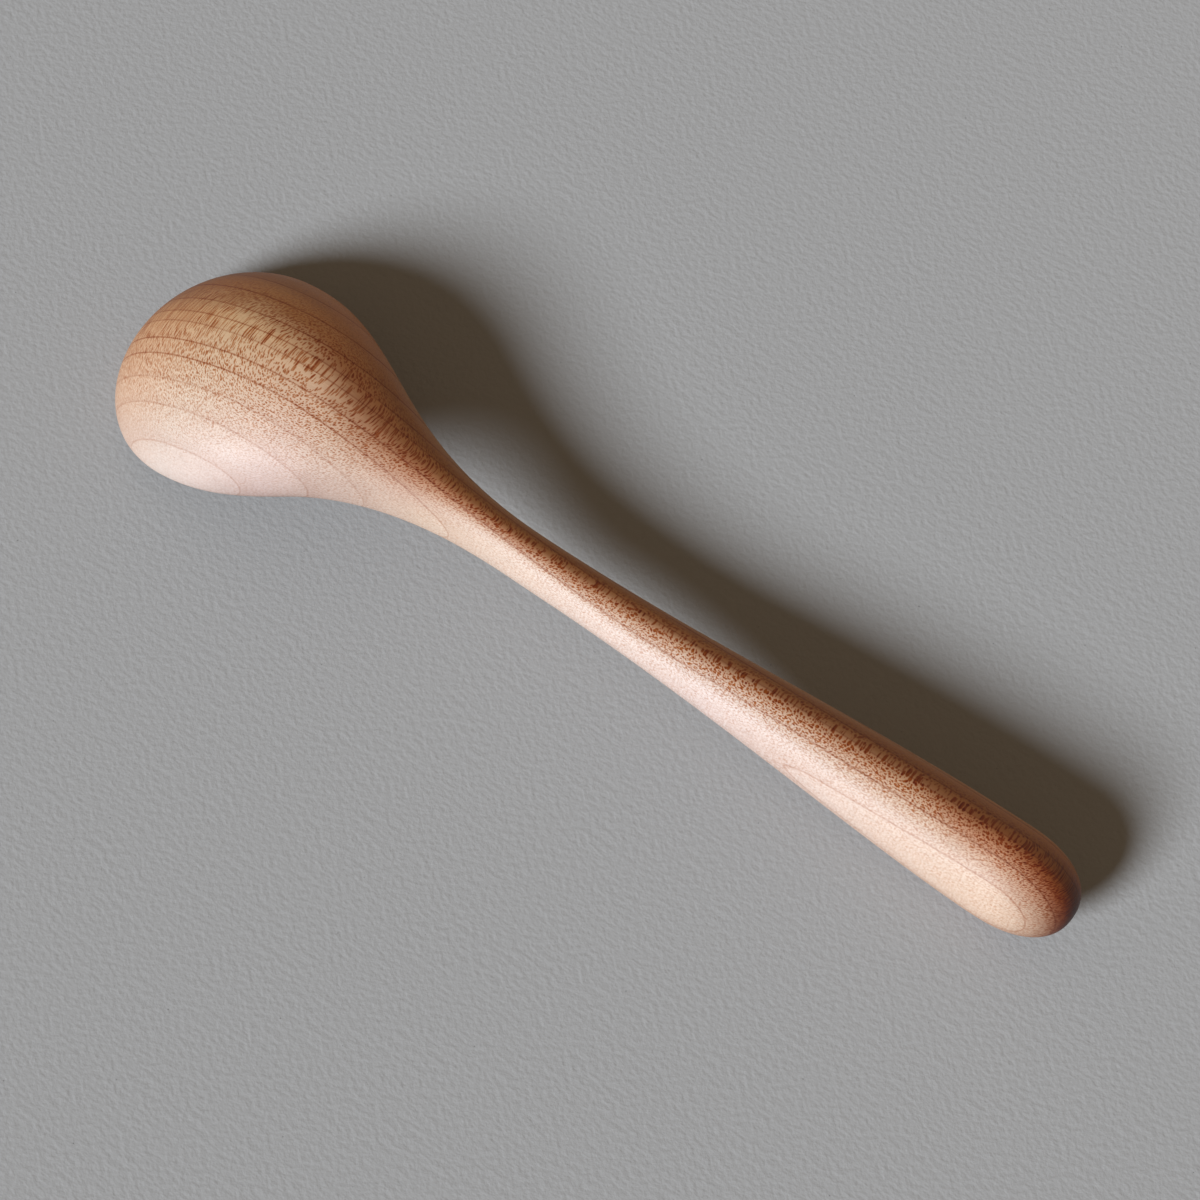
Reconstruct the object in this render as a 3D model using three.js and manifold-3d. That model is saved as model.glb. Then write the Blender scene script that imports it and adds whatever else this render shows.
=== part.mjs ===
// A maple serving spoon carved from one board, lying face down: its rim's tip and its handle's end
// touch the table at z = 0. Millimetres, +X from the bowl's tip to the handle's end, +Z up.

import * as THREE from 'three';
import * as BufferGeometryUtils from 'three/addons/utils/BufferGeometryUtils.js';
import Module from 'manifold-3d';

const wasm = await Module();
wasm.setup();

// Driving dimensions. A station is a distance from the bowl's tip.
const length = 218;

// Plan outline, as half widths.
const bowlWidestAt = 25.2;
const bowlHalfWidth = 24.6;
const noseFullness = 2.07;
const neckAt = 94;
const neckHalfWidth = 5;
const gripWidestAt = 202.8;
const gripHalfWidth = 9.75;
const endFullness = 2.3;

// The rim is one flat plane. It leaves the table at the tip and climbs towards the neck.
const rimPitch = THREE.MathUtils.degToRad(17.3);
const rimContactAt = 1.2;
const rimFlatEnd = 50;
const edgeHeight = 2;
const edgeRounding = 1.3;

// Side outline: the crown of the bowl's back, the neck and the handle.
const crownAt = 41.2;
const crownHeight = 28.4;
const crownFullness = 1.9;
const waistAt = 122;
const waistHeight = 18.5;
const neckMiddleAt = 100;
const neckMiddleHeight = 13.9;
const neckUnderAt = 104;
const neckUnderHeight = 8.4;
const gripThickness = 21;
const endCapLength = 17.5;

// The hollow that is gouged into the bowl.
const rimWidth = 4.2;
const hollowStart = 4.3;
const hollowEnd = 55.5;
const crownWall = 3.2;
const hollowFullness = 2.2;
const mouthBevel = 0.5;

// Mesh fineness.
const noseSteps = 17;
const bowlStep = 2.3;
const handleStep = 3.8;
const endSteps = 15;
const crownSteps = 34;
const edgeSteps = 6;
const hollowSteps = 18;
const mouthSteps = 72;

const rimSlope = Math.tan(rimPitch);
const gripMiddle = gripThickness / 2;
const endCapAt = length - endCapLength;

// Height on a round stretch: 1 at share 0 and 0 at share 1. Fullness 2 is a true ellipse.
function roundOff(share, fullness) {
  const reach = THREE.MathUtils.clamp(share, 0, 1);
  return Math.pow(1 - Math.pow(reach, fullness), 1 / fullness);
}

// A flowing line between two stations, leaving and arriving at the given slopes. The reaches say
// how far each end holds its direction.
function flowingLine(from, to) {
  const curve = new THREE.CubicBezierCurve(
    new THREE.Vector2(from.at, from.value),
    new THREE.Vector2(from.at + from.reach, from.value + from.reach * from.slope),
    new THREE.Vector2(to.at - to.reach, to.value - to.reach * to.slope),
    new THREE.Vector2(to.at, to.value),
  );
  return (station) => {
    let low = 0;
    let high = 1;
    for (let halving = 0; halving < 40; halving += 1) {
      const middle = (low + high) / 2;
      if (curve.getPoint(middle).x < station) {
        low = middle;
      } else {
        high = middle;
      }
    }
    return curve.getPoint((low + high) / 2).y;
  };
}

const shoulderLine = flowingLine(
  { at: bowlWidestAt, value: bowlHalfWidth, slope: 0, reach: 24.3 },
  { at: neckAt, value: neckHalfWidth, slope: 0, reach: 38.3 },
);

const gripLine = flowingLine(
  { at: neckAt, value: neckHalfWidth, slope: 0, reach: 44.3 },
  { at: gripWidestAt, value: gripHalfWidth, slope: 0, reach: 31.7 },
);

function halfWidth(station) {
  if (station < bowlWidestAt) {
    return bowlHalfWidth * roundOff((bowlWidestAt - station) / bowlWidestAt, noseFullness);
  }
  if (station < neckAt) {
    return shoulderLine(station);
  }
  if (station < gripWidestAt) {
    return gripLine(station);
  }
  return gripHalfWidth * roundOff((station - gripWidestAt) / (length - gripWidestAt), endFullness);
}

function rimPlane(station) {
  return rimSlope * (station - rimContactAt);
}

// The widest line of the body: just above the rim along the bowl, then the middle of the neck
// and the handle.
const neckMiddleLine = flowingLine(
  { at: rimFlatEnd, value: rimPlane(rimFlatEnd) + edgeHeight, slope: rimSlope, reach: 9 },
  { at: neckMiddleAt, value: neckMiddleHeight, slope: 0, reach: 24.4 },
);

const gripMiddleLine = flowingLine(
  { at: neckMiddleAt, value: neckMiddleHeight, slope: 0, reach: 52 },
  { at: endCapAt, value: gripMiddle, slope: -0.06, reach: 18 },
);

function widestHeight(station) {
  if (station < rimFlatEnd) {
    return rimPlane(station) + edgeHeight;
  }
  if (station < neckMiddleAt) {
    return neckMiddleLine(station);
  }
  if (station < endCapAt) {
    return gripMiddleLine(station);
  }
  return gripMiddle;
}

const neckTopLine = flowingLine(
  { at: crownAt, value: crownHeight, slope: 0, reach: 19.2 },
  { at: waistAt, value: waistHeight, slope: 0, reach: 40.3 },
);

const gripTopLine = flowingLine(
  { at: waistAt, value: waistHeight, slope: 0, reach: 9 },
  { at: endCapAt, value: gripThickness, slope: 0, reach: 49 },
);

function topHeight(station) {
  if (station < crownAt) {
    const start = widestHeight(0);
    const share = (crownAt - station) / crownAt;
    return start + (crownHeight - start) * Math.sqrt(1 - Math.pow(share, crownFullness));
  }
  if (station < waistAt) {
    return neckTopLine(station);
  }
  if (station < endCapAt) {
    return gripTopLine(station);
  }
  return gripMiddle + gripMiddle * roundOff((station - endCapAt) / endCapLength, 2);
}

const neckUnderLine = flowingLine(
  { at: rimFlatEnd, value: rimPlane(rimFlatEnd), slope: rimSlope, reach: 10 },
  { at: neckUnderAt, value: neckUnderHeight, slope: 0, reach: 26 },
);

const gripUnderLine = flowingLine(
  { at: neckUnderAt, value: neckUnderHeight, slope: 0, reach: 42 },
  { at: endCapAt, value: 0, slope: -0.05, reach: 20 },
);

function underHeight(station) {
  if (station < edgeRounding) {
    const share = (edgeRounding - station) / edgeRounding;
    return rimPlane(station) + edgeHeight * (1 - roundOff(share, 2));
  }
  if (station < rimFlatEnd) {
    return rimPlane(station);
  }
  if (station < neckUnderAt) {
    return neckUnderLine(station);
  }
  if (station < endCapAt) {
    return gripUnderLine(station);
  }
  return gripMiddle - gripMiddle * roundOff((station - endCapAt) / endCapLength, 2);
}

// How far the lower edges are rounded in: a narrow lip round the bowl that opens out over the
// shoulder, until the neck is round all the way under.
function edgeInset(station) {
  const opening = THREE.MathUtils.smoothstep(station, rimFlatEnd, rimFlatEnd + 28);
  const full = 0.97 * halfWidth(station);
  return Math.min(full, THREE.MathUtils.lerp(edgeRounding, full, opening));
}

// One cross-section, from the +Y side over the top, down the -Y side and back underneath.
function bodySection(station) {
  const width = halfWidth(station);
  const middle = widestHeight(station);
  const top = topHeight(station);
  const under = underHeight(station);
  const inset = edgeInset(station);
  const ring = [];
  for (let step = 0; step <= crownSteps; step += 1) {
    const turn = (Math.PI * step) / crownSteps;
    const y = width * Math.cos(turn);
    const z = middle + (top - middle) * Math.sin(turn);
    ring.push(new THREE.Vector3(station, y, z));
  }
  for (const side of [-1, 1]) {
    for (let step = 1; step <= edgeSteps; step += 1) {
      const share = side < 0 ? step : edgeSteps - step + 1;
      const turn = (Math.PI * share) / (2 * edgeSteps);
      const y = side * (width - inset + inset * Math.cos(turn));
      const z = middle - (middle - under) * Math.sin(turn);
      ring.push(new THREE.Vector3(station, y, z));
    }
  }
  return ring;
}

// Stations lie close together where the ends round over, and evenly between.
function bodyStations() {
  const stations = [];
  for (let step = 1; step <= noseSteps; step += 1) {
    stations.push(bowlWidestAt * (1 - Math.cos((Math.PI * step) / (2 * noseSteps))));
  }
  const bowlEnd = 80;
  const bowlCount = Math.round((bowlEnd - bowlWidestAt) / bowlStep);
  for (let step = 1; step <= bowlCount; step += 1) {
    stations.push(THREE.MathUtils.lerp(bowlWidestAt, bowlEnd, step / bowlCount));
  }
  const handleCount = Math.round((endCapAt - bowlEnd) / handleStep);
  for (let step = 1; step <= handleCount; step += 1) {
    stations.push(THREE.MathUtils.lerp(bowlEnd, endCapAt, step / handleCount));
  }
  for (let step = 1; step < endSteps; step += 1) {
    stations.push(endCapAt + endCapLength * Math.sin((Math.PI * step) / (2 * endSteps)));
  }
  return stations;
}

// Skins a row of sections with equal point counts, and closes each end with a fan to one point.
function loft(sections, startPoint, endPoint) {
  const count = sections[0].length;
  const positions = [];
  for (const section of sections) {
    for (const point of section) {
      positions.push(point.x, point.y, point.z);
    }
  }
  const start = sections.length * count;
  const end = start + 1;
  positions.push(startPoint.x, startPoint.y, startPoint.z);
  positions.push(endPoint.x, endPoint.y, endPoint.z);
  const indices = [];
  for (let row = 0; row < sections.length - 1; row += 1) {
    for (let step = 0; step < count; step += 1) {
      const here = row * count + step;
      const beside = row * count + ((step + 1) % count);
      indices.push(here, beside, beside + count);
      indices.push(here, beside + count, here + count);
    }
  }
  const last = (sections.length - 1) * count;
  for (let step = 0; step < count; step += 1) {
    const beside = (step + 1) % count;
    indices.push(start, beside, step);
    indices.push(end, last + step, last + beside);
  }
  const geometry = new THREE.BufferGeometry();
  geometry.setAttribute('position', new THREE.Float32BufferAttribute(positions, 3));
  geometry.setIndex(indices);
  return geometry;
}

function bodyGeometry() {
  const startPoint = new THREE.Vector3(0, 0, widestHeight(0));
  const endPoint = new THREE.Vector3(length, 0, gripMiddle);
  return loft(bodyStations().map(bodySection), startPoint, endPoint);
}

// Half width and roof of the hollow. Its mouth follows the rim plane and keeps the rim's width
// all round, and its roof runs under the crown with an even wall.
function hollowHalfWidth(station) {
  const widest = bowlHalfWidth - rimWidth;
  if (station < bowlWidestAt) {
    const share = (bowlWidestAt - station) / (bowlWidestAt - hollowStart);
    return widest * roundOff(share, noseFullness);
  }
  return widest * roundOff((station - bowlWidestAt) / (hollowEnd - bowlWidestAt), 2);
}

function hollowRoof(station) {
  const deepest = crownHeight - crownWall;
  if (station < crownAt) {
    const start = rimPlane(hollowStart);
    const share = (crownAt - station) / (crownAt - hollowStart);
    return start + (deepest - start) * Math.sqrt(1 - Math.pow(share, crownFullness));
  }
  const back = rimPlane(hollowEnd);
  const share = (station - crownAt) / (hollowEnd - crownAt);
  return back + (deepest - back) * roundOff(share, hollowFullness);
}

function hollowSection(station) {
  const width = hollowHalfWidth(station);
  const mouth = rimPlane(station);
  const roof = hollowRoof(station);
  const floor = mouth - edgeHeight;
  const ring = [new THREE.Vector3(station, width, floor)];
  for (let step = 0; step <= crownSteps; step += 1) {
    const turn = (Math.PI * step) / crownSteps;
    const y = width * Math.cos(turn);
    const z = mouth + (roof - mouth) * Math.sin(turn);
    ring.push(new THREE.Vector3(station, y, z));
  }
  ring.push(new THREE.Vector3(station, -width, floor));
  return ring;
}

function hollowGeometry() {
  const stations = [];
  for (let step = 1; step <= hollowSteps; step += 1) {
    const turn = (Math.PI * step) / (2 * hollowSteps);
    stations.push(crownAt - (crownAt - hollowStart) * Math.cos(turn));
  }
  const backSteps = Math.round(hollowSteps * 0.6);
  for (let step = 1; step < backSteps; step += 1) {
    const turn = (Math.PI * step) / (2 * backSteps);
    stations.push(crownAt + (hollowEnd - crownAt) * Math.sin(turn));
  }
  const startPoint = new THREE.Vector3(stations[0], 0, rimPlane(stations[0]));
  const end = stations[stations.length - 1];
  const endPoint = new THREE.Vector3(end, 0, rimPlane(end));
  return loft(stations.map(hollowSection), startPoint, endPoint);
}

// The mouth's plan outline, moved outwards by an offset and lifted off the rim plane.
function mouthOutline(offset, lift) {
  const widest = bowlHalfWidth - rimWidth + offset;
  const ahead = bowlWidestAt - hollowStart + offset;
  const behind = hollowEnd - bowlWidestAt + offset;
  const ring = [];
  for (let step = 0; step < mouthSteps; step += 1) {
    const turn = (2 * Math.PI * step) / mouthSteps;
    const along = Math.cos(turn);
    const station = bowlWidestAt + along * (along < 0 ? ahead : behind);
    ring.push(new THREE.Vector3(station, widest * Math.sin(turn), rimPlane(station) + lift));
  }
  return ring;
}

// A shallow cone that breaks the sharp edge where the hollow meets the rim.
function bevelGeometry() {
  const outside = mouthBevel + 1;
  const below = mouthOutline(outside, mouthBevel - outside);
  const above = mouthOutline(-1, mouthBevel + 1);
  const startPoint = new THREE.Vector3(bowlWidestAt, 0, rimPlane(bowlWidestAt) + mouthBevel - outside);
  const endPoint = new THREE.Vector3(bowlWidestAt, 0, rimPlane(bowlWidestAt) + mouthBevel + 1);
  return loft([below, above], startPoint, endPoint);
}

// Boolean cut between closed geometries.
function toManifold(geometry) {
  const mesh = new wasm.Mesh({
    numProp: 3,
    vertProperties: new Float32Array(geometry.attributes.position.array),
    triVerts: new Uint32Array(geometry.index.array),
  });
  return new wasm.Manifold(mesh);
}

function fromManifold(solid) {
  const mesh = solid.getMesh();
  const geometry = new THREE.BufferGeometry();
  geometry.setAttribute('position', new THREE.BufferAttribute(mesh.vertProperties, 3));
  geometry.setIndex(new THREE.BufferAttribute(mesh.triVerts, 1));
  const merged = BufferGeometryUtils.mergeVertices(geometry);
  merged.computeVertexNormals();
  return merged;
}

function carveSpoon() {
  const body = toManifold(bodyGeometry());
  const hollow = toManifold(hollowGeometry());
  const bevel = toManifold(bevelGeometry());
  return fromManifold(body.subtract(hollow).subtract(bevel));
}

const wood = new THREE.MeshStandardMaterial({
  name: 'wood',
  color: new THREE.Color(0.71, 0.51, 0.36),
  roughness: 0.5,
  metalness: 0,
});

const spoon = new THREE.Mesh(carveSpoon(), wood);
spoon.name = 'spoon';
spoon.position.x = -length / 2;

const group = new THREE.Group();
group.add(spoon);

export default group;
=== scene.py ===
import math

import bmesh
import bpy
import numpy as np
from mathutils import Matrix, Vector


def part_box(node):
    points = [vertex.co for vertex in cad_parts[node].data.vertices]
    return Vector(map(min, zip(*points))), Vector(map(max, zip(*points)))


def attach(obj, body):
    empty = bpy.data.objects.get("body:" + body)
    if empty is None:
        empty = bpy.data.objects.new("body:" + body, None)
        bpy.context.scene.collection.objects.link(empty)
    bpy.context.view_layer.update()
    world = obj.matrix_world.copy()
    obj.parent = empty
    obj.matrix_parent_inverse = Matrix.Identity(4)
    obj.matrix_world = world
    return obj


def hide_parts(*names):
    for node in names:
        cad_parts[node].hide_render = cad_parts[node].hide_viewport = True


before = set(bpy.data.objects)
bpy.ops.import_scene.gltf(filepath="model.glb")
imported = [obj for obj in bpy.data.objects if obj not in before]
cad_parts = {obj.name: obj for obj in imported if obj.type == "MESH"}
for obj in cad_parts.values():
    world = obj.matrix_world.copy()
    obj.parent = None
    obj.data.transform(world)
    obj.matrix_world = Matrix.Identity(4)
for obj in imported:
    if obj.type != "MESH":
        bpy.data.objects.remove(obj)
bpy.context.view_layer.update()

# The camera looks down steeply over the bowl's side, as the photograph does, with the bowl at the
# upper left and the handle running down to the right. Places are in metres, in the frame.
mm = 0.001
camera_target = Vector((1.468 * mm, 2.23 * mm, 9.81 * mm))
camera_distance = 600 * mm
camera_turn = math.radians(304.89)
camera_elevation = math.radians(67.04)
camera_lens_mm = 93.96
camera_sensor_mm = 36
camera_nearest = 10 * mm
camera_farthest = 20


def direction(turn, elevation):
    """The way to something that stands at a turn from +X and at an angle above the table."""
    level = math.cos(elevation)
    return Vector((math.cos(turn) * level, math.sin(turn) * level, math.sin(elevation)))


towards_camera = direction(camera_turn, camera_elevation)
camera_data = bpy.data.cameras.new("camera")
camera_data.lens = camera_lens_mm
camera_data.sensor_width = camera_sensor_mm
camera_data.clip_start = camera_nearest
camera_data.clip_end = camera_farthest
camera = bpy.data.objects.new("camera", camera_data)
camera.location = camera_target + camera_distance * towards_camera
camera.rotation_euler = (-towards_camera).to_track_quat("-Z", "Y").to_euler()
bpy.context.scene.collection.objects.link(camera)
bpy.context.scene.camera = camera
bpy.context.scene.view_settings.view_transform = "Standard"

# One soft window lights the spoon low from its near side, so the shadow falls away behind it and
# the handle's far flank goes dark. The room's walls fill the shadow with a weak warm light.
window_turn = math.radians(256.5)
window_elevation = math.radians(31)
window_width = math.radians(20)
window_strength = 5.5
window_colour = (0.89, 0.945, 1)
room_colour = (1, 0.75, 0.5)
room_strength = 0.16


def add_light(name, kind, strength, colour, towards):
    """A light that shines on the spoon from the given direction."""
    light_data = bpy.data.lights.new(name, kind)
    light_data.energy = strength
    light_data.color = colour
    light = bpy.data.objects.new(name, light_data)
    light.rotation_euler = towards.to_track_quat("Z", "Y").to_euler()
    bpy.context.scene.collection.objects.link(light)
    return light


towards_window = direction(window_turn, window_elevation)
window = add_light("window", "SUN", window_strength, window_colour, towards_window)
window.data.angle = window_width

room = bpy.data.worlds.new("room")
room.use_nodes = True
room_light = room.node_tree.nodes["Background"].inputs
room_light["Color"].default_value = (*room_colour, 1)
room_light["Strength"].default_value = room_strength
bpy.context.scene.world = room

# The wall across the room gives a little of the light back, from beyond the spoon.
wall_turn = math.radians(70)
wall_elevation = math.radians(25)
wall_distance = 1.6
wall_size = 1.6
wall_power = 2.2

towards_wall = direction(wall_turn, wall_elevation)
wall = add_light("far_wall", "AREA", wall_power, room_colour, towards_wall)
wall.data.size = wall_size
wall.location = wall_distance * towards_wall

# The table is a board rolled with matt grey paint, one wide sheet with no edge in view. The
# roller left a shallow orange peel about a millimetre across, and a few pinholes.
table_half_width = 3.0
table_grey = (0.336, 0.335, 0.336)
paint_roughness = 0.9
paint_gloss = 0.15
peel_size = 1.2 * mm
peel_depth = 0.15 * mm
pinhole_spacing = 17 * mm
pinhole_radius = 0.2 * mm
pinhole_grey = 0.35

corner_signs = ((-1, -1), (1, -1), (1, 1), (-1, 1))
table_corners = [(x * table_half_width, y * table_half_width, 0) for x, y in corner_signs]
table_mesh = bpy.data.meshes.new("table")
table_mesh.from_pydata(table_corners, [], [(0, 1, 2, 3)])
table = bpy.data.objects.new("table", table_mesh)
bpy.context.scene.collection.objects.link(table)


def add_node(tree, kind, inputs=None, **settings):
    """Adds a shader node. An input is a plain value or the output that feeds it."""
    node = tree.nodes.new("ShaderNode" + kind)
    for name, value in settings.items():
        setattr(node, name, value)
    for name, value in (inputs or {}).items():
        if isinstance(value, bpy.types.NodeSocket):
            tree.links.new(value, node.inputs[name])
        else:
            node.inputs[name].default_value = value
    return node


def calculate(tree, operation, first, second=0.0):
    return add_node(tree, "Math", {0: first, 1: second}, operation=operation).outputs[0]


def scale_vector(tree, vector, factor):
    return add_node(tree, "VectorMath", {0: vector, "Scale": factor}, operation="SCALE").outputs[0]


def fade(tree, value, start, end, before, after, smooth=False):
    """Goes from before to after as the value goes from start to end, and no further."""
    inputs = {"Value": value, "From Min": start, "From Max": end, "To Min": before, "To Max": after}
    kind = "SMOOTHSTEP" if smooth else "LINEAR"
    return add_node(tree, "MapRange", inputs, interpolation_type=kind).outputs[0]


paint = bpy.data.materials.new("matt_grey_paint")
paint.use_nodes = True
paint_tree = paint.node_tree
paint_shader = paint_tree.nodes["Principled BSDF"]
on_table = add_node(paint_tree, "TexCoord").outputs["Object"]
peel = add_node(paint_tree, "TexNoise", {"Vector": on_table, "Scale": 1 / peel_size}).outputs[0]
peel_height = calculate(paint_tree, "MULTIPLY", peel, peel_depth)
peel_bump = add_node(paint_tree, "Bump", {"Height": peel_height, "Strength": 1.0, "Distance": 1.0})
paint_tree.links.new(peel_bump.outputs["Normal"], paint_shader.inputs["Normal"])
pinhole_place = {"Vector": on_table, "Scale": 1 / pinhole_spacing}
pinhole_cells = add_node(paint_tree, "TexVoronoi", pinhole_place, voronoi_dimensions="2D").outputs
pinhole_size = add_node(paint_tree, "SeparateColor", {0: pinhole_cells["Color"]}).outputs[0]
pinhole_reach = calculate(paint_tree, "MULTIPLY", pinhole_size, pinhole_radius / pinhole_spacing)
pinholes = fade(paint_tree, pinhole_cells["Distance"], 0, pinhole_reach, pinhole_grey, 1)
paint_colour = scale_vector(paint_tree, table_grey, pinholes)
paint_tree.links.new(paint_colour, paint_shader.inputs["Base Color"])
paint_shader.inputs["Roughness"].default_value = paint_roughness
paint_shader.inputs["Specular IOR Level"].default_value = paint_gloss
table_mesh.materials.append(paint)

# The spoon is one piece of hard maple, carved and sanded smooth, with a gouged bowl, a slim neck
# and a club handle. Its form is drawn here again, finer than in the CAD solid, with the edge of
# the hollow's mouth rounded over. A station is a distance from the bowl's tip.
spoon_box_low, spoon_box_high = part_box("spoon")
length = spoon_box_high.x - spoon_box_low.x
bowl_half_width = spoon_box_high.y
crown_height = spoon_box_high.z

bowl_widest_at = 25.2 * mm
nose_fullness = 2.07
neck_at = 94 * mm
neck_half_width = 5 * mm
grip_widest_at = 202.8 * mm
grip_half_width = 9.75 * mm
end_fullness = 2.3
rim_slope = math.tan(math.radians(17.3))
rim_contact_at = 1.2 * mm
rim_flat_end = 50 * mm
edge_height = 2 * mm
edge_rounding = 1.3 * mm
shoulder_length = 28 * mm
shoulder_rounding = 0.97
crown_at = 41.2 * mm
crown_fullness = 1.9
waist_at = 122 * mm
waist_height = 18.5 * mm
neck_middle_at = 100 * mm
neck_middle_height = 13.9 * mm
neck_under_at = 104 * mm
neck_under_height = 8.4 * mm
grip_thickness = 21 * mm
grip_middle = grip_thickness / 2
end_cap_length = 17.5 * mm
end_cap_at = length - end_cap_length
rim_width = 4.2 * mm
hollow_start = 4.3 * mm
hollow_end = 55.5 * mm
crown_wall = 3.2 * mm
hollow_fullness = 2.2
mouth_rounding = 0.9 * mm


def round_off(share, fullness):
    """Height on a round stretch, 1 at share 0 and 0 at share 1. Fullness 2 is a true ellipse."""
    reach = min(max(share, 0), 1)
    return (1 - reach ** fullness) ** (1 / fullness)


curve_points = 600


def flowing_line(start, end):
    """A smooth line between two stations. Each end is (station, value, slope, reach), and its
    reach says how far it holds its slope."""
    share = np.linspace(0, 1, curve_points)
    weights = ((1 - share) ** 3, 3 * share * (1 - share) ** 2, 3 * share ** 2 * (1 - share), share ** 3)
    stations = (start[0], start[0] + start[3], end[0] - end[3], end[0])
    values = (start[1], start[1] + start[3] * start[2], end[1] - end[3] * end[2], end[1])
    along = sum(weight * station for weight, station in zip(weights, stations))
    across = sum(weight * value for weight, value in zip(weights, values))
    return lambda station: float(np.interp(station, along, across))


def rim_plane(station):
    return rim_slope * (station - rim_contact_at)


shoulder_line = flowing_line(
    (bowl_widest_at, bowl_half_width, 0, 24.3 * mm),
    (neck_at, neck_half_width, 0, 38.3 * mm),
)
grip_line = flowing_line(
    (neck_at, neck_half_width, 0, 44.3 * mm),
    (grip_widest_at, grip_half_width, 0, 31.7 * mm),
)
neck_middle_line = flowing_line(
    (rim_flat_end, rim_plane(rim_flat_end) + edge_height, rim_slope, 9 * mm),
    (neck_middle_at, neck_middle_height, 0, 24.4 * mm),
)
grip_middle_line = flowing_line(
    (neck_middle_at, neck_middle_height, 0, 52 * mm),
    (end_cap_at, grip_middle, -0.06, 18 * mm),
)
neck_top_line = flowing_line(
    (crown_at, crown_height, 0, 19.2 * mm),
    (waist_at, waist_height, 0, 40.3 * mm),
)
grip_top_line = flowing_line(
    (waist_at, waist_height, 0, 9 * mm),
    (end_cap_at, grip_thickness, 0, 49 * mm),
)
neck_under_line = flowing_line(
    (rim_flat_end, rim_plane(rim_flat_end), rim_slope, 10 * mm),
    (neck_under_at, neck_under_height, 0, 26 * mm),
)
grip_under_line = flowing_line(
    (neck_under_at, neck_under_height, 0, 42 * mm),
    (end_cap_at, 0, -0.05, 20 * mm),
)


def half_width(station):
    if station < bowl_widest_at:
        return bowl_half_width * round_off((bowl_widest_at - station) / bowl_widest_at, nose_fullness)
    if station < neck_at:
        return shoulder_line(station)
    if station < grip_widest_at:
        return grip_line(station)
    share = (station - grip_widest_at) / (length - grip_widest_at)
    return grip_half_width * round_off(share, end_fullness)


def widest_height(station):
    """Height of the spoon's widest line: just above the rim, then halfway up neck and handle."""
    if station < rim_flat_end:
        return rim_plane(station) + edge_height
    if station < neck_middle_at:
        return neck_middle_line(station)
    if station < end_cap_at:
        return grip_middle_line(station)
    return grip_middle


def top_height(station):
    if station < crown_at:
        start = widest_height(0)
        share = (crown_at - station) / crown_at
        return start + (crown_height - start) * math.sqrt(1 - share ** crown_fullness)
    if station < waist_at:
        return neck_top_line(station)
    if station < end_cap_at:
        return grip_top_line(station)
    return grip_middle + grip_middle * round_off((station - end_cap_at) / end_cap_length, 2)


def under_height(station):
    if station < edge_rounding:
        share = (edge_rounding - station) / edge_rounding
        return rim_plane(station) + edge_height * (1 - round_off(share, 2))
    if station < rim_flat_end:
        return rim_plane(station)
    if station < neck_under_at:
        return neck_under_line(station)
    if station < end_cap_at:
        return grip_under_line(station)
    return grip_middle - grip_middle * round_off((station - end_cap_at) / end_cap_length, 2)


def edge_inset(station):
    """How far the lower edges are rounded in: a narrow lip round the bowl that opens out over
    the shoulder, until the neck is round all the way under."""
    opening = min(max((station - rim_flat_end) / shoulder_length, 0), 1)
    opening = opening * opening * (3 - 2 * opening)
    full = shoulder_rounding * half_width(station)
    return min(full, edge_rounding + (full - edge_rounding) * opening)


def mouth_half_width(station, offset):
    """The hollow's mouth in plan, moved outwards by an offset."""
    widest = bowl_half_width - rim_width + offset
    if station < bowl_widest_at:
        ahead = bowl_widest_at - hollow_start + offset
        return widest * round_off((bowl_widest_at - station) / ahead, nose_fullness)
    behind = hollow_end - bowl_widest_at + offset
    return widest * round_off((station - bowl_widest_at) / behind, 2)


def hollow_roof(station):
    """The hollow's highest line, which follows the crown with an even wall."""
    deepest = crown_height - crown_wall
    if station < crown_at:
        start = rim_plane(hollow_start)
        share = min((crown_at - station) / (crown_at - hollow_start), 1)
        return start + (deepest - start) * math.sqrt(1 - share ** crown_fullness)
    back = rim_plane(hollow_end)
    share = (station - crown_at) / (hollow_end - crown_at)
    return back + (deepest - back) * round_off(share, hollow_fullness)


# Points round one section: over the back, round each lower edge, over the flat land of the rim,
# round the lip of the hollow's mouth, and through the hollow.
back_steps = 72
edge_steps = 9
land_steps = 3
lip_steps = 7
hollow_steps = 44


def least_offset(station):
    """How far outside the hollow's mouth a station on the middle line lies."""
    return max(hollow_start - station, station - hollow_end, 0)


def mouth_side(station):
    """From the land's inner end to the hollow's wall on the +Y side: (y, height over the land)."""
    nearest = min(least_offset(station), mouth_rounding)
    points = []
    for step in range(lip_steps + 1):
        turn = math.pi / 2 * step / lip_steps
        offset = nearest + (mouth_rounding - nearest) * (1 - math.sin(turn))
        rise = mouth_rounding - math.sqrt(max(mouth_rounding ** 2 - (mouth_rounding - offset) ** 2, 0))
        points.append((mouth_half_width(station, offset), rise))
    return points


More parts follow.
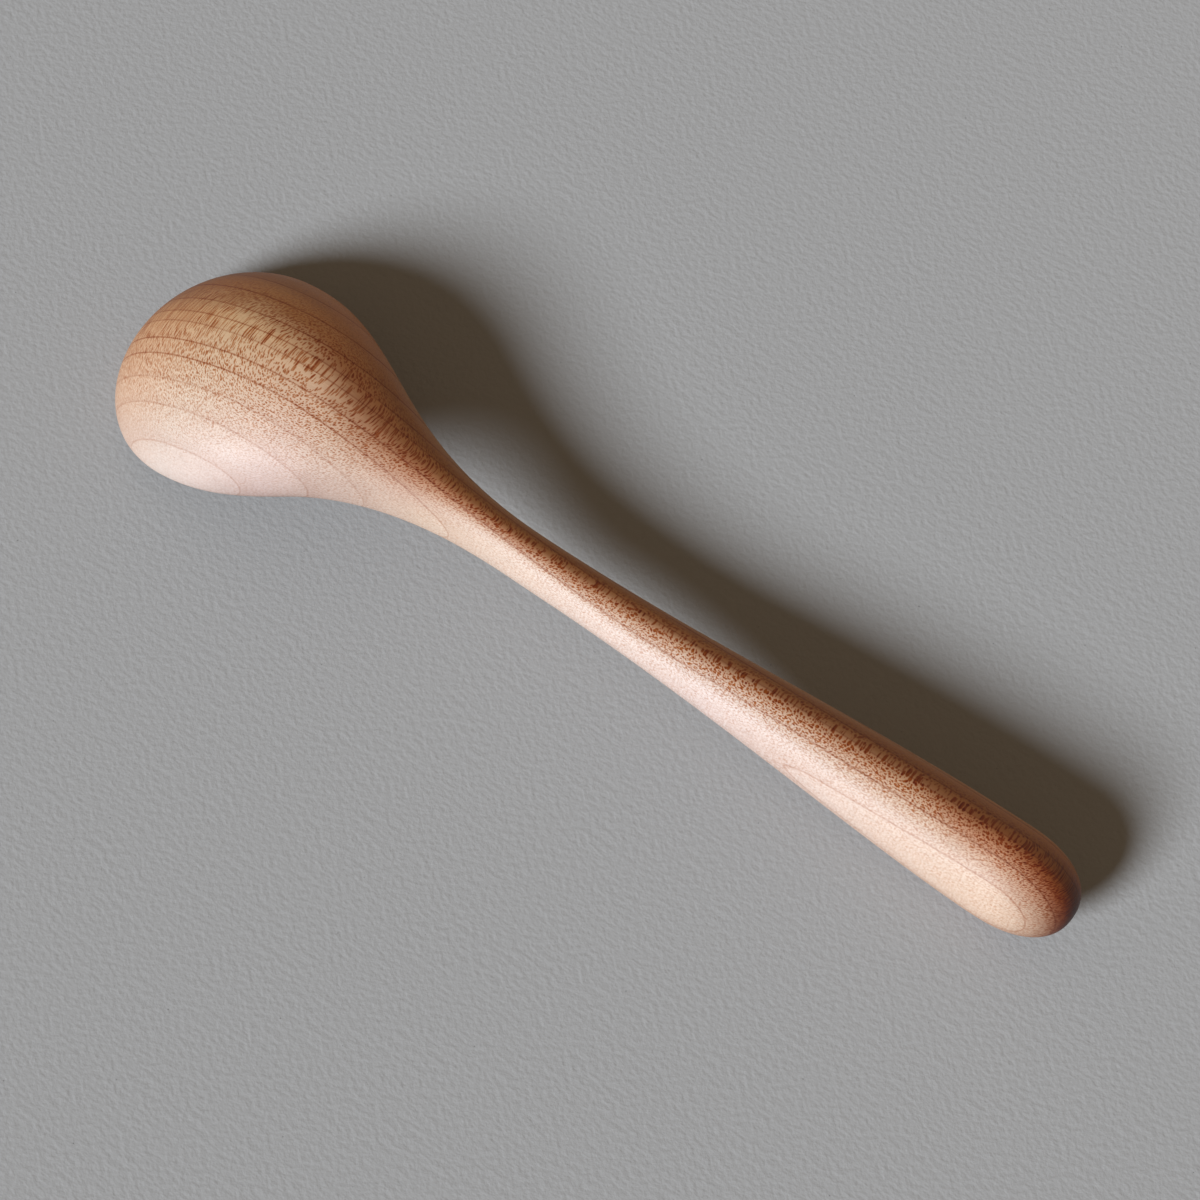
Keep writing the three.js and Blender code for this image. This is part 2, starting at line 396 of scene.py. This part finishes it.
def section(station):
    """One cross-section of the spoon, from +Y over the top, down -Y and back through the hollow."""
    width = half_width(station)
    middle = widest_height(station)
    top = top_height(station)
    under = under_height(station)
    inset = edge_inset(station)
    ring = []
    for step in range(back_steps + 1):
        turn = math.pi * step / back_steps
        ring.append((width * math.cos(turn), middle + (top - middle) * math.sin(turn)))
    corner = []
    for step in range(1, edge_steps + 1):
        turn = math.pi / 2 * step / edge_steps
        y = width - inset + inset * math.cos(turn)
        corner.append((y, middle - (middle - under) * math.sin(turn)))
    side = mouth_side(station)
    land_outside = corner[-1][0]
    land_inside = min(side[0][0], land_outside)
    land = []
    for step in range(1, land_steps + 1):
        land.append((land_outside + (land_inside - land_outside) * step / land_steps, under))
    lip = [(min(y, land_outside), under + rise) for y, rise in side]
    right = corner + land + lip
    ring += [(-y, z) for y, z in right]
    inner_width, inner_base = lip[-1]
    roof = max(hollow_roof(station), inner_base) if inner_width > 0 else inner_base
    for step in range(1, hollow_steps):
        turn = math.pi * step / hollow_steps
        ring.append((-inner_width * math.cos(turn), inner_base + (roof - inner_base) * math.sin(turn)))
    ring += reversed(right)
    return ring


# Sections along each stretch of the spoon. They crowd together where it rounds over.
nose_sections = 60
lip_sections = 6
hollow_front_sections = 46
hollow_middle_sections = 22
hollow_back_sections = 34
handle_sections = 150
end_sections = 40
closest_sections = 0.004 * mm
weld_distance = 0.002 * mm
sliver_length = 0.001 * mm


def even_steps(start, end, count):
    return [start + (end - start) * step / count for step in range(count)]


def steps_from_round_start(start, end, count):
    """Stations that crowd towards the start of a stretch."""
    return [start + (end - start) * (1 - math.cos(math.pi / 2 * step / count)) for step in range(count)]


def steps_to_round_end(start, end, count):
    """Stations that crowd towards the end of a stretch."""
    return [start + end - station for station in steps_from_round_start(start, end, count)]


def spoon_stations():
    mouth_front = hollow_start - mouth_rounding
    mouth_back = hollow_end + mouth_rounding
    stations = set(steps_from_round_start(0, bowl_widest_at, nose_sections)[1:])
    stations.update(even_steps(mouth_front, hollow_start, lip_sections))
    stations.update(steps_from_round_start(hollow_start, bowl_widest_at, hollow_front_sections))
    stations.update(even_steps(bowl_widest_at, crown_at, hollow_middle_sections))
    stations.update(steps_to_round_end(crown_at, hollow_end, hollow_back_sections))
    stations.update(even_steps(hollow_end, mouth_back, lip_sections))
    stations.update(even_steps(mouth_back, end_cap_at, handle_sections))
    stations.update(steps_to_round_end(end_cap_at, length, end_sections)[1:])
    kept = []
    for station in sorted(stations):
        if not kept or station - kept[-1] > closest_sections:
            kept.append(station)
    return kept


def carve():
    grid = bmesh.new()
    rows = []
    for station in spoon_stations():
        rows.append([grid.verts.new((spoon_box_low.x + station, y, z)) for y, z in section(station)])
    tip = grid.verts.new((spoon_box_low.x, 0, widest_height(0)))
    end = grid.verts.new((spoon_box_high.x, 0, grip_middle))
    count = len(rows[0])
    for row, following in zip(rows, rows[1:]):
        for step in range(count):
            beside = (step + 1) % count
            grid.faces.new((row[step], row[beside], following[beside], following[step]))
    for step in range(count):
        beside = (step + 1) % count
        grid.faces.new((tip, rows[0][beside], rows[0][step]))
        grid.faces.new((end, rows[-1][step], rows[-1][beside]))
    bmesh.ops.remove_doubles(grid, verts=grid.verts, dist=weld_distance)
    bmesh.ops.dissolve_degenerate(grid, edges=grid.edges, dist=sliver_length)
    bmesh.ops.recalc_face_normals(grid, faces=grid.faces)
    mesh = bpy.data.meshes.new("maple_spoon")
    grid.to_mesh(mesh)
    grid.free()
    mesh.polygons.foreach_set("use_smooth", [True] * len(mesh.polygons))
    return mesh


spoon = bpy.data.objects.new("maple_spoon", carve())
bpy.context.scene.collection.objects.link(spoon)

# The billet was sawn so that the growth rings stand almost upright along the spoon. They lean a
# little, more so towards the handle, bow slightly, and drift sideways on their way up the trunk.
# Log position tells a point's place in the tree, in millimetres: out across the rings, round along
# them, and up the trunk, from a point inside the spoon's shoulder. Facing is 1 where the surface
# lies flat on the rings towards the bark, 0 where it was cut square across them and -1 towards the
# heart. End grain is 1 at the handle's end.
log_origin_mm = Vector((-49, 0, 15))
ring_lean = 0.17
ring_twist = 0.0014
ring_bow = 0.0015
ring_drift = (0.01, -0.00047, 0.00000235)
noise_middle = (0.5, 0.5, 0.5)


def combine_vectors(tree, operation, first, second):
    return add_node(tree, "VectorMath", {0: first, 1: second}, operation=operation).outputs[0]


def polynomial(tree, variable, factors):
    """factors[0] + factors[1] * variable + ..., where a factor may be a socket."""
    total = factors[-1]
    for factor in reversed(factors[:-1]):
        total = calculate(tree, "ADD", calculate(tree, "MULTIPLY", total, variable), factor)
    return total


def new_group(name, inputs, outputs):
    """A shader node group with its named sockets. Each input is (name, kind, default)."""
    tree = bpy.data.node_groups.new(name, "ShaderNodeTree")
    for socket_name, kind, default in inputs:
        socket = tree.interface.new_socket(socket_name, in_out="INPUT", socket_type="NodeSocket" + kind)
        if default is not None:
            socket.default_value = default
    for socket_name, kind in outputs:
        tree.interface.new_socket(socket_name, in_out="OUTPUT", socket_type="NodeSocket" + kind)
    return tree, tree.nodes.new("NodeGroupInput").outputs, tree.nodes.new("NodeGroupOutput").inputs


def use_group(tree, group, inputs=None):
    return add_node(tree, "Group", inputs, node_tree=group).outputs


def build_log_position():
    tree, given, result = new_group(
        "log_position",
        [("Wander", "Float", 0.3), ("Wander length", "Float", 12.0)],
        [("Position", "Vector"), ("Facing", "Float"), ("End grain", "Float")],
    )
    coordinates = add_node(tree, "TexCoord").outputs
    in_mm = scale_vector(tree, coordinates["Object"], 1 / mm)
    from_origin = combine_vectors(tree, "SUBTRACT", in_mm, log_origin_mm)
    x, y, z = add_node(tree, "SeparateXYZ", {0: from_origin}).outputs
    twisted_lean = polynomial(tree, x, [ring_lean, ring_twist])
    leaning = polynomial(tree, z, [0.0, twisted_lean, ring_bow])
    drifting = polynomial(tree, x, [0.0, *ring_drift])
    outward = calculate(tree, "SUBTRACT", calculate(tree, "ADD", leaning, drifting), y)
    around = calculate(tree, "ADD", z, calculate(tree, "MULTIPLY", y, twisted_lean))
    straight = add_node(tree, "CombineXYZ", {0: outward, 1: around, 2: x}).outputs[0]

    wander_place = combine_vectors(tree, "DIVIDE", straight, given["Wander length"])
    noise = add_node(tree, "TexNoise", {"Vector": wander_place, "Scale": 1.0}).outputs["Color"]
    centred = combine_vectors(tree, "SUBTRACT", noise, noise_middle)
    wandering = scale_vector(tree, centred, given["Wander"])
    tree.links.new(combine_vectors(tree, "ADD", straight, wandering), result["Position"])

    slope = polynomial(tree, z, [twisted_lean, 2 * ring_bow])
    across_rings = add_node(tree, "CombineXYZ", {1: -1.0, 2: slope}).outputs[0]
    towards_bark = add_node(tree, "VectorMath", {0: across_rings}, operation="NORMALIZE").outputs[0]
    directions = {0: coordinates["Normal"], 1: towards_bark}
    facing = add_node(tree, "VectorMath", directions, operation="DOT_PRODUCT").outputs["Value"]
    tree.links.new(facing, result["Facing"])
    up_trunk = add_node(tree, "SeparateXYZ", {0: coordinates["Normal"]}).outputs[0]
    tree.links.new(up_trunk, result["End grain"])
    return tree


# Growth rings: each year's wood darkens a little towards its end, and stops at a thin dark line.
# Each line has its place out from the middle of the billet, and its strength, and past the
# billet's width the lines start again. Where the surface lies nearly flat on the rings, the line
# is drawn thinner through the wood, so that it stays as fine to the eye.
ring_ends_mm = (
    (-18.5, 0.6), (-13.3, 0.85), (-8.3, 0.85), (-4.5, 0.7), (-1.75, 0.6),
    (2.6, 1.0), (6.1, 1.0), (10.85, 0.45), (15.4, 0.55), (20.7, 0.6),
)
ring_line_mm = 0.27
late_wood_mm = 1.8
billet_mm = 80
least_cut_squared = 0.03


def colour_scale(tree, variable, low, high, stops):
    """A colour that changes with a value. Each stop is (value, (red, green, blue))."""
    ramp = add_node(tree, "ValToRGB", {0: fade(tree, variable, low, high, 0, 1)})
    elements = ramp.color_ramp.elements
    ordered = sorted(stops)
    for value, colour in ordered[1:-1]:
        elements.new((value - low) / (high - low)).color = (*colour, 1)
    for element, (value, colour) in ((elements[0], ordered[0]), (elements[-1], ordered[-1])):
        element.position = (value - low) / (high - low)
        element.color = (*colour, 1)
    return ramp.outputs["Color"]


def build_growth_rings():
    tree, given, result = new_group(
        "growth_rings",
        [("Position", "Vector", None), ("Facing", "Float", 0.0)],
        [("Line", "Float"), ("Late wood", "Float")],
    )
    outward = add_node(tree, "SeparateXYZ", {0: given["Position"]}).outputs[0]
    ahead = billet_mm
    farthest = 0.0
    for end, _ in ring_ends_mm:
        gap = calculate(tree, "FLOORED_MODULO", calculate(tree, "SUBTRACT", end, outward), billet_mm)
        ahead = calculate(tree, "MINIMUM", gap, ahead)
        farthest = calculate(tree, "MAXIMUM", gap, farthest)
    behind = calculate(tree, "SUBTRACT", billet_mm, farthest)
    nearest = calculate(tree, "MINIMUM", ahead, behind)

    facing_squared = calculate(tree, "MULTIPLY", given["Facing"], given["Facing"])
    cut_squared = calculate(tree, "SUBTRACT", 1.0, facing_squared)
    cut_across = calculate(tree, "SQRT", calculate(tree, "MAXIMUM", cut_squared, least_cut_squared))
    line_reach = calculate(tree, "MULTIPLY", cut_across, ring_line_mm)
    line = fade(tree, nearest, 0, line_reach, 1, 0)
    strengths = [(end, [strength] * 3) for end, strength in ring_ends_mm]
    strength = colour_scale(tree, outward, -billet_mm / 2, billet_mm / 2, strengths)
    tree.links.new(calculate(tree, "MULTIPLY", line, strength), result["Line"])
    tree.links.new(fade(tree, ahead, 0, late_wood_mm, 1, 0), result["Late wood"])
    return tree


# Rays: thin ribbons of cells that run outwards from the heart through every ring. Cut along
# their length they show as long dark flecks, and cut across as fine ticks. Each ribbon has its
# own width, and it swells and thins on its way out.
ray_scatter = 0.8
ray_width_least = 0.65
ray_width_spread = 0.6
swell_length_mm = 1.7
swell_crowding = 0.7
swell_least = 0.25
swell_spread = 1.5


def build_wood_rays():
    tree, given, result = new_group(
        "wood_rays",
        [
            ("Position", "Vector", None),
            ("Spacing around", "Float", 0.18),
            ("Spacing along", "Float", 0.88),
            ("Width", "Float", 0.26),
            ("Softness", "Float", 0.07),
        ],
        [("Ray", "Float")],
    )
    outward, around, along = add_node(tree, "SeparateXYZ", {0: given["Position"]}).outputs
    ribbon_around = calculate(tree, "DIVIDE", around, given["Spacing around"])
    ribbon_along = calculate(tree, "DIVIDE", along, given["Spacing along"])
    place = add_node(tree, "CombineXYZ", {0: ribbon_around, 1: ribbon_along}).outputs[0]
    net = {"Vector": place, "Scale": 1.0, "Randomness": ray_scatter}
    ribbons = add_node(tree, "TexVoronoi", net, voronoi_dimensions="2D").outputs
    own_width = add_node(tree, "SeparateColor", {0: ribbons["Color"]}).outputs[0]

    on_the_way_out = calculate(tree, "DIVIDE", outward, swell_length_mm)
    swell_place = add_node(tree, "CombineXYZ", {0: on_the_way_out, 1: ribbon_around, 2: ribbon_along})
    swell_noise = {"Vector": swell_place.outputs[0], "Scale": swell_crowding, "Detail": 0.0}
    swell = add_node(tree, "TexNoise", swell_noise).outputs[0]
    width = polynomial(tree, own_width, [ray_width_least, ray_width_spread])
    width = calculate(tree, "MULTIPLY", given["Width"], width)
    width = calculate(tree, "MULTIPLY", width, polynomial(tree, swell, [swell_least, swell_spread]))
    inside = calculate(tree, "SUBTRACT", width, given["Softness"])
    outside = calculate(tree, "ADD", width, given["Softness"])
    ray = fade(tree, ribbons["Distance"], inside, outside, 1, 0, smooth=True)
    tree.links.new(ray, result["Ray"])
    return tree


# The finish is bare maple rubbed with a little oil. The flecks change slowly from the bowl's kind
# to the handle's, between two stations. Fibres are fine streaks along the trunk, and clouds are
# wide soft patches in the wood.
maple = bpy.data.materials.new("maple")
maple.use_nodes = True
maple_tree = maple.node_tree
maple_shader = maple_tree.nodes["Principled BSDF"]

bowl_wood_end_mm = 50
handle_wood_start_mm = 120
start_mm = spoon_box_low.x / mm - log_origin_mm.x
end_mm = start_mm + length / mm
fibre_crowding = (3.5, 3.5, 0.25)
fibre_detail = 3.0
fibre_harshness = 0.6
cloud_crowding = (0.25, 0.25, 0.08)

log_position = build_log_position()
in_log = use_group(maple_tree, log_position)
position = in_log["Position"]
facing = in_log["Facing"]
along = add_node(maple_tree, "SeparateXYZ", {0: position}).outputs[2]
towards_handle = fade(
    maple_tree, along, start_mm + bowl_wood_end_mm, start_mm + handle_wood_start_mm, 0, 1)
fibre_noise = {
    "Vector": combine_vectors(maple_tree, "MULTIPLY", position, fibre_crowding),
    "Scale": 1.0,
    "Detail": fibre_detail,
    "Roughness": fibre_harshness,
}
fibres = add_node(maple_tree, "TexNoise", fibre_noise).outputs[0]
cloud_place = combine_vectors(maple_tree, "MULTIPLY", position, cloud_crowding)
clouds = add_node(maple_tree, "TexNoise", {"Vector": cloud_place, "Scale": 1.0}).outputs[0]

# The wood is paler where the surface lies flat on the rings and darker where it was cut square across
# them, and these colours also hold painted light and shade. The flank that faces the window is painted
# pale and pinkish, as if lit. The ridge where the window's light runs out, with the flank beyond it, is
# painted a deep red brown as shade. Both lists of colours run over facing. The brown, grain and painted
# shade together, reaches further round at the neck and at the handle's end, so each station has the facing
# where the brown is full and the one where it has gone.
flat_cut_and_lit_colours = (
    (1, (0.57, 0.45, 0.4)),
    (0.8, (0.53, 0.4, 0.34)),
    (0.5, (0.61, 0.45, 0.35)),
    (0, (0.63, 0.385, 0.21)),
)
square_cut_and_shade_colours = (
    (0.45, (0.35, 0.08, 0.015)),
    (0.05, (0.25, 0.08, 0.023)),
    (-0.45, (0.45, 0.19, 0.06)),
    (-0.95, (0.58, 0.38, 0.24)),
)
brown_and_shade_edges = (
    (0, -0.45, 0.2),
    (24, -0.3, 0),
    (46, -0.15, 0.2),
    (70, -0.2, 1.15),
    (130, -0.2, 0.6),
    (180, -0.25, 0.7),
    (204, 0, 1.05),
    (218, 0.35, 1.05),
)
brown_and_shade_patchiness = 0.1

# A colour scale holds only 0 to 1, so these facings go in at half size with an offset.
facing_offset = 0.25


def between(tree, share, start, end):
    """Goes straight from start to end as the share goes from 0 to 1."""
    return polynomial(tree, share, [start, end - start])


def blend(tree, share, first, second, mode="MIX"):
    node = add_node(tree, "Mix", {0: share, 6: first, 7: second}, data_type="RGBA", blend_type=mode)
    return node.outputs[2]


def packed(facing_value):
    return facing_offset + facing_value / 2


def unpacked(tree, channel):
    return polynomial(tree, channel, [-2 * facing_offset, 2.0])


# Painted shade: the brown mask below darkens the ridge and the flank beyond it, where the window's light
# runs out, on top of the wood cut square across the rings. The flat-cut colours carry painted light on the
# lit flank.
edges = colour_scale(maple_tree, along, start_mm, end_mm, [
    (start_mm + station, (packed(full), packed(gone), 0)) for station, full, gone in brown_and_shade_edges])
brown_and_shade_full, brown_and_shade_gone, _ = add_node(maple_tree, "SeparateColor", {0: edges}).outputs
patches = between(maple_tree, clouds, -brown_and_shade_patchiness, brown_and_shade_patchiness)
brown_and_shade = fade(
    maple_tree, calculate(maple_tree, "ADD", facing, patches),
    unpacked(maple_tree, brown_and_shade_full), unpacked(maple_tree, brown_and_shade_gone), 1, 0, smooth=True)
flat_cut_and_lit = colour_scale(maple_tree, facing, -1.0, 1.0, flat_cut_and_lit_colours)
square_cut_and_shade = colour_scale(maple_tree, facing, -1.0, 1.0, square_cut_and_shade_colours)
colour = blend(maple_tree, brown_and_shade, flat_cut_and_lit, square_cut_and_shade)

# The bowl's far flank, which turns towards the heart of the log, is paler than the brown. It lies in the
# shade, and its deep orange is partly painted shade.
far_flank_shade_colour = (0.54, 0.24, 0.09, 1)
far_flank_full = -0.45
far_flank_gone = -0.15
bowl_flank_full_mm = 37
bowl_flank_gone_mm = 62

far_flank = fade(maple_tree, facing, far_flank_full, far_flank_gone, 1, 0, smooth=True)
on_bowl = fade(
    maple_tree, along, start_mm + bowl_flank_full_mm, start_mm + bowl_flank_gone_mm, 1, 0, smooth=True)
colour = blend(maple_tree, calculate(maple_tree, "MULTIPLY", far_flank, on_bowl), colour, far_flank_shade_colour)

# The colour drifts a little along the spoon. Part of this is the wood's own tone, and part is painted
# light and shade, lighter or darker where a stretch of the spoon catches more or less of the window. A
# colour scale holds at most 1, so the tones go in halved.
tone_and_light_drift = (
    (0, (0.9, 0.75, 0.6)),
    (24, (0.95, 1, 1)),
    (46, (1, 1, 1.05)),
    (75, (1, 1, 0.9)),
    (140, (1, 1.05, 1.1)),
    (218, (1, 0.95, 0.8)),
)

half_tone_and_light = colour_scale(maple_tree, along, start_mm, end_mm, [
    (start_mm + station, [channel / 2 for channel in tone]) for station, tone in tone_and_light_drift])
colour = combine_vectors(maple_tree, "MULTIPLY", colour, scale_vector(maple_tree, half_tone_and_light, 2.0))

# Late wood and ring lines darken the colour. The lines are weaker where the surface lies flat on
# the rings, and stronger where the clouds are thick. End grain soaks up the oil and goes dark.
ring_tint = (0.55, 0.28, 0.15, 1)
late_wood_share = 0.14
line_facings = (-0.3, 0.95)
line_shares = (1.15, 0.58)
cloud_line_shares = (0.3, 1.7)  # where the clouds are thin and where they are thick
end_grain_tint = (0.3, 0.2, 0.17, 1)
end_grain_sharpness = 1.5

rings = use_group(maple_tree, build_growth_rings(), {"Position": position, "Facing": facing})
late_wood = calculate(maple_tree, "MULTIPLY", rings["Late wood"], late_wood_share)
colour = blend(maple_tree, late_wood, colour, ring_tint, "MULTIPLY")
line_share = calculate(
    maple_tree, "MULTIPLY", fade(maple_tree, facing, *line_facings, *line_shares),
    between(maple_tree, clouds, *cloud_line_shares))
ring_line = calculate(maple_tree, "MULTIPLY", rings["Line"], line_share)
colour = blend(maple_tree, ring_line, colour, ring_tint, "MULTIPLY")
end_grain = calculate(maple_tree, "MAXIMUM", in_log["End grain"], 0.0)
end_grain = calculate(maple_tree, "POWER", end_grain, end_grain_sharpness)
colour = blend(maple_tree, end_grain, colour, end_grain_tint, "MULTIPLY")

# Ray flecks, broad ones and fine ones between them, are darker than the wood. The broad ones are
# wider near the ridge than on the flank. Both weaken where the surface lies flat on the rings, and
# again beyond the ridge, where it turns towards the heart.
ray_tint = (0.56, 0.22, 0.03, 1)
ray_wander = 0.5
ray_wander_length = 5.0
width_facings = (0.3, 0.7)  # near the ridge and on the flank, as the two widths below
broad_widths = (0.265, 0.235)
broad_width_gain = 0.03
fine_spacing_around = 0.12
fine_spacing_along = 0.6
fine_softness = 0.1
flat_cut_facings = (0.3, 1.0)
flat_cut_share = 0.38
turned_away_full = -0.5
turned_away_gone = (-0.05, 0.28)  # on the bowl and on the handle, as the next three pairs
turned_away_share = (0.45, 0.2)
fine_strengths = (0.8, 1.1)
broad_strengths = (0.74, 1.4)
cloud_strengths = (0.7, 1.3)  # where the clouds are thin and where they are thick

wood_rays = build_wood_rays()
ray_position = use_group(
    maple_tree, log_position, {"Wander": ray_wander, "Wander length": ray_wander_length})["Position"]
width_by_facing = fade(maple_tree, facing, *width_facings, *broad_widths)
broad_rays = use_group(maple_tree, wood_rays, {
    "Position": ray_position,
    "Width": polynomial(maple_tree, towards_handle, [width_by_facing, broad_width_gain]),
})["Ray"]
fine_rays = use_group(maple_tree, wood_rays, {
    "Position": ray_position,
    "Spacing around": fine_spacing_around,
    "Spacing along": fine_spacing_along,
    "Softness": fine_softness,
})["Ray"]

on_flat_cut = fade(maple_tree, facing, *flat_cut_facings, 1, flat_cut_share, smooth=True)
turned_away = fade(
    maple_tree, facing, turned_away_full, between(maple_tree, towards_handle, *turned_away_gone),
    between(maple_tree, towards_handle, *turned_away_share), 1, smooth=True)
strength = calculate(maple_tree, "MULTIPLY", on_flat_cut, turned_away)
fine_strength = calculate(
    maple_tree, "MULTIPLY", strength, between(maple_tree, towards_handle, *fine_strengths))
fine_flecks = calculate(maple_tree, "MULTIPLY", fine_rays, fine_strength)
colour = blend(maple_tree, fine_flecks, colour, ray_tint, "MULTIPLY")
broad_strength = calculate(
    maple_tree, "MULTIPLY", strength, between(maple_tree, clouds, *cloud_strengths))
broad_strength = calculate(
    maple_tree, "MULTIPLY", broad_strength, between(maple_tree, towards_handle, *broad_strengths))
broad_flecks = calculate(maple_tree, "MULTIPLY", broad_rays, broad_strength)
colour = blend(maple_tree, broad_flecks, colour, ray_tint, "MULTIPLY")

# The fibres streak the colour and roughen the sheen. Sanding left the fibres a hair proud and the
# broad rays a hair low and smoother, and the oil lies over all of it as a thin soft coat.
fibre_streaks = (0.82, 1.18)
satin_roughness = (0.46, 0.66)
ray_polish = 0.08
ray_depth = 0.5
grain_strength = 0.5
grain_depth = 0.04 * mm
oil_weight = 0.04
oil_roughness = 0.35

streaked = scale_vector(maple_tree, colour, between(maple_tree, fibres, *fibre_streaks))
maple_tree.links.new(streaked, maple_shader.inputs["Base Color"])
satin = calculate(
    maple_tree, "SUBTRACT", between(maple_tree, fibres, *satin_roughness),
    calculate(maple_tree, "MULTIPLY", broad_rays, ray_polish))
maple_tree.links.new(satin, maple_shader.inputs["Roughness"])
grain = calculate(
    maple_tree, "SUBTRACT", fibres, calculate(maple_tree, "MULTIPLY", broad_rays, ray_depth))
grain_relief = {"Height": grain, "Strength": grain_strength, "Distance": grain_depth}
grain_bump = add_node(maple_tree, "Bump", grain_relief)
maple_tree.links.new(grain_bump.outputs["Normal"], maple_shader.inputs["Normal"])
maple_shader.inputs["Coat Weight"].default_value = oil_weight
maple_shader.inputs["Coat Roughness"].default_value = oil_roughness
spoon.data.materials.append(maple)

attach(spoon, "root")
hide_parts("spoon")
